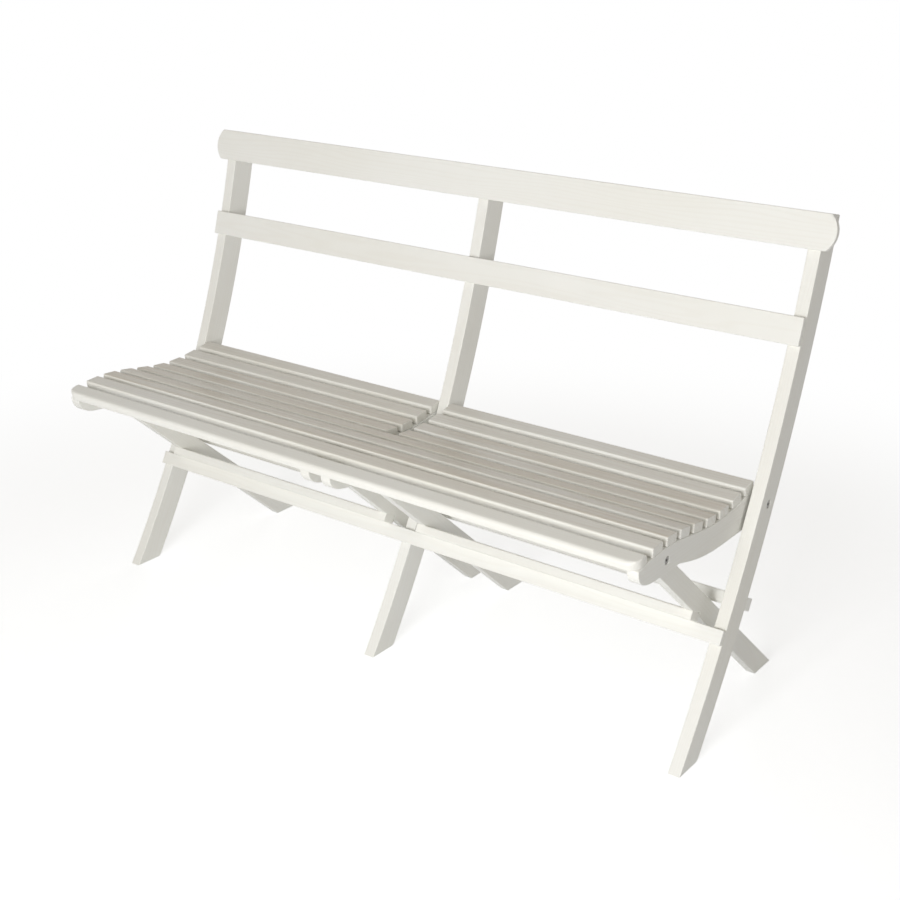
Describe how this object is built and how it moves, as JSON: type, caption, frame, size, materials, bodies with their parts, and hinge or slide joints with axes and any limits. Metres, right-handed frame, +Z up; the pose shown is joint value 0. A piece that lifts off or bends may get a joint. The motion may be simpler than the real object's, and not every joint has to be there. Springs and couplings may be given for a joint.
{
  "type": "folding bench",
  "caption": "Painted wooden folding bench with a slatted seat that swings up against a two-rail back while its crossed rear legs slide in.",
  "frame": {"origin": "centre of the bench's overall box, on the floor under it", "axes": "+X along the bench, to the right as seen from its front, +Y to the back of the bench, +Z up"},
  "size_m": [1.328, 0.5693, 0.8398],
  "materials": {
    "painted_wood": "satin paint",
    "zinc_steel": "zinc plated"
  },
  "bodies": {
    "frame": {"upright_left": "painted_wood", "upright_middle": "painted_wood", "upright_right": "painted_wood", "top_back_rail": "painted_wood", "lower_back_rail": "painted_wood", "front_stretcher": "painted_wood", "rear_rail": "painted_wood", "seat_bolt_left": "zinc_steel", "seat_bolt_middle": "zinc_steel", "seat_bolt_right": "zinc_steel", "seat_nut_left": "zinc_steel", "seat_nut_middle": "zinc_steel", "seat_nut_right": "zinc_steel", "seat_washer_left": "zinc_steel", "seat_washer_middle_left": "zinc_steel", "seat_washer_middle_right": "zinc_steel", "seat_washer_right": "zinc_steel"},
    "seat": {"bearer_left": "painted_wood", "bearer_middle_left": "painted_wood", "bearer_middle_right": "painted_wood", "bearer_right": "painted_wood", "slat_1": "painted_wood", "slat_2": "painted_wood", "slat_3": "painted_wood", "slat_4": "painted_wood", "slat_5": "painted_wood", "slat_6_left": "painted_wood", "slat_6_right": "painted_wood", "slat_7_left": "painted_wood", "slat_7_right": "painted_wood", "slat_8_left": "painted_wood", "slat_8_right": "painted_wood", "slat_9_left": "painted_wood", "slat_9_right": "painted_wood", "leg_bolt_left": "zinc_steel", "leg_bolt_middle_left": "zinc_steel", "leg_bolt_middle_right": "zinc_steel", "leg_bolt_right": "zinc_steel", "leg_nut_left": "zinc_steel", "leg_nut_middle_left": "zinc_steel", "leg_nut_middle_right": "zinc_steel", "leg_nut_right": "zinc_steel", "leg_washer_left": "zinc_steel", "leg_washer_middle_left": "zinc_steel", "leg_washer_middle_right": "zinc_steel", "leg_washer_right": "zinc_steel"},
    "legs_left": {"leg_left": "painted_wood", "leg_middle_left": "painted_wood", "leg_rail_left": "painted_wood"},
    "legs_right": {"leg_middle_right": "painted_wood", "leg_right": "painted_wood", "leg_rail_right": "painted_wood"}
  },
  "joints": [
    {"name": "seat_fold", "type": "hinge", "parent": "frame", "child": "seat", "pos_m": [0, 0.09346, 0.3902], "axis": [-1, 0, 0], "range_deg": [0, 92.5]},
    {"name": "leg_fold_left", "type": "hinge", "parent": "seat", "child": "legs_left", "pos_m": [-0.3135, -0.19204, 0.3924], "axis": [1, 0, 0], "range_deg": [0, 30.6]},
    {"name": "leg_fold_right", "type": "hinge", "parent": "seat", "child": "legs_right", "pos_m": [0.3135, -0.19204, 0.3924], "axis": [1, 0, 0], "range_deg": [0, 30.6]}
  ],
  "couplings": [
    {"joint": "leg_fold_left", "follows": "seat_fold", "ratio": 0.33},
    {"joint": "leg_fold_right", "follows": "seat_fold", "ratio": 0.33}
  ]
}
